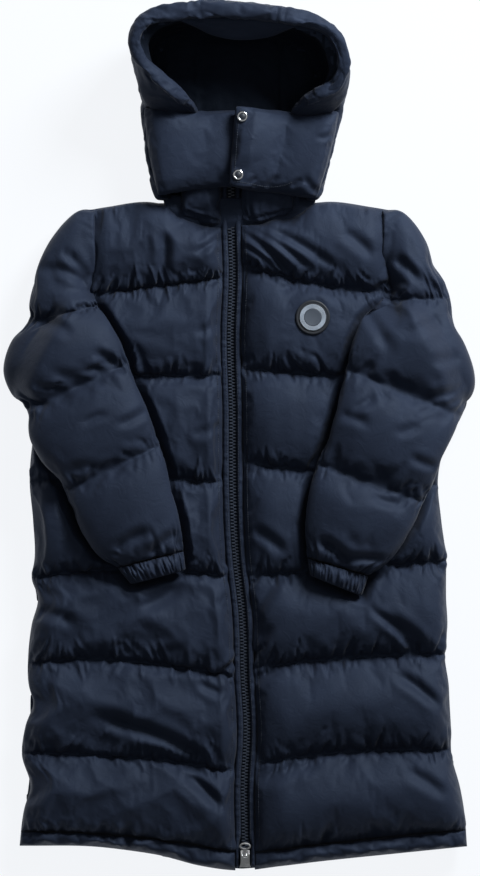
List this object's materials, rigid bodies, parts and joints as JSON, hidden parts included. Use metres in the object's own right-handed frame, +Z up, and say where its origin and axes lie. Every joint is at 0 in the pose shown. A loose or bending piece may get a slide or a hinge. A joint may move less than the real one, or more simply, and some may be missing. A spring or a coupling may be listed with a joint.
{
  "type": "long hooded puffer coat, laid flat",
  "caption": "Long quilted puffer coat laid flat on its back, hood up with a snapped chin guard, full-length two-way zip and sleeves folded over the front.",
  "frame": {"origin": "on the surface, under the middle of the coat's bounding box", "axes": "+X to the viewer's right (the wearer's left side), +Y towards the hood, +Z up out of the coat's front"},
  "size_m": [0.6808, 1.2568, 0.1586],
  "materials": {
    "shell": "matt-satin navy down-proof nylon, quilted",
    "tape": "woven zip tape",
    "teeth": "moulded zip teeth",
    "metal": "polished nickel",
    "badge_rubber": "moulded rubber",
    "badge_pale": "moulded pale grey"
  },
  "bodies": {
    "coat": {"front_left": "shell", "front_right": "shell", "back": "shell", "hem_front_left": "shell", "hem_front_right": "shell", "hem_back": "shell", "sleeve_left": "shell", "sleeve_right": "shell", "cuff_left": "shell", "cuff_right": "shell", "hood_side_left": "shell", "hood_side_right": "shell", "hood_centre": "shell", "hood_brim": "shell", "guard_upper": "shell", "guard_under": "shell", "collar_left": "shell", "collar_right": "shell", "zip_tape": "tape", "zip_welt_left": "shell", "zip_welt_right": "shell", "zip_chain": "teeth", "zip_slider": "metal", "badge_base": "badge_rubber", "badge_ring": "badge_pale", "badge_disc": "badge_pale", "snap_upper": "metal", "snap_lower": "metal"},
    "pull": {"zip_pull": "metal"}
  },
  "joints": [
    {"name": "pull_tab_hinge", "type": "hinge", "parent": "coat", "child": "pull", "pos_m": [0.00742, -0.60642, 0.037], "axis": [1, 0, 0], "range_deg": [0, 170]}
  ]
}
